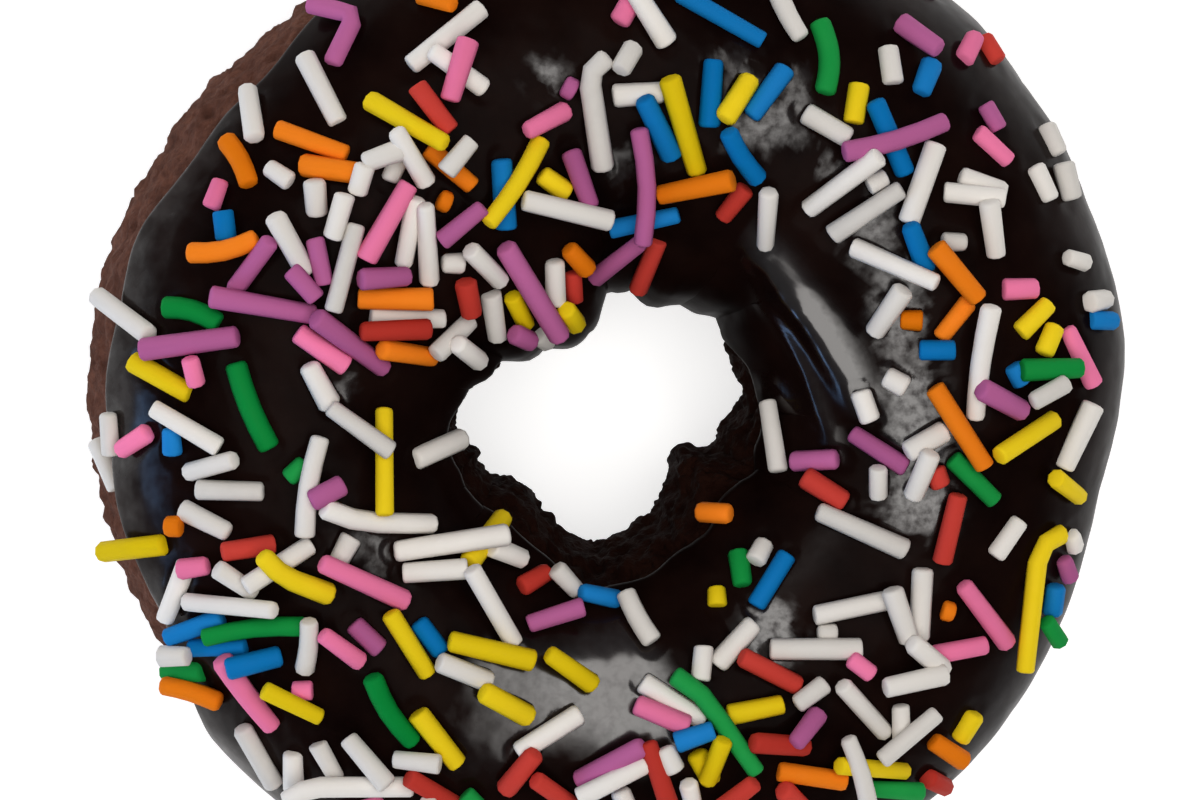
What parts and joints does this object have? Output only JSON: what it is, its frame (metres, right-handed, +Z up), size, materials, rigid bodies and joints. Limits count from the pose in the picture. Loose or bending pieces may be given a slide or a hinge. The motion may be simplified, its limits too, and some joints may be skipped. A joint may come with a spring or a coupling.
{
  "type": "sprinkle frosted doughnut",
  "caption": "Chocolate cake ring doughnut with an uneven hole, dipped in glossy dark chocolate frosting and scattered with coloured rod sprinkles.",
  "frame": {"origin": "centre of the footprint, on the surface that the ring rests on", "axes": "+Z up through the hole, +X and +Y across the ring"},
  "size_m": [0.0918, 0.0918, 0.0338],
  "materials": {
    "dough": "matte",
    "frosting": "gloss",
    "sprinkle_white": "matte",
    "sprinkle_yellow": "matte",
    "sprinkle_orange": "matte",
    "sprinkle_red": "matte",
    "sprinkle_purple": "matte",
    "sprinkle_blue": "matte",
    "sprinkle_pink": "matte",
    "sprinkle_green": "matte"
  },
  "bodies": {
    "root": {"dough": "dough", "frosting": "frosting"}
  },
  "joints": []
}
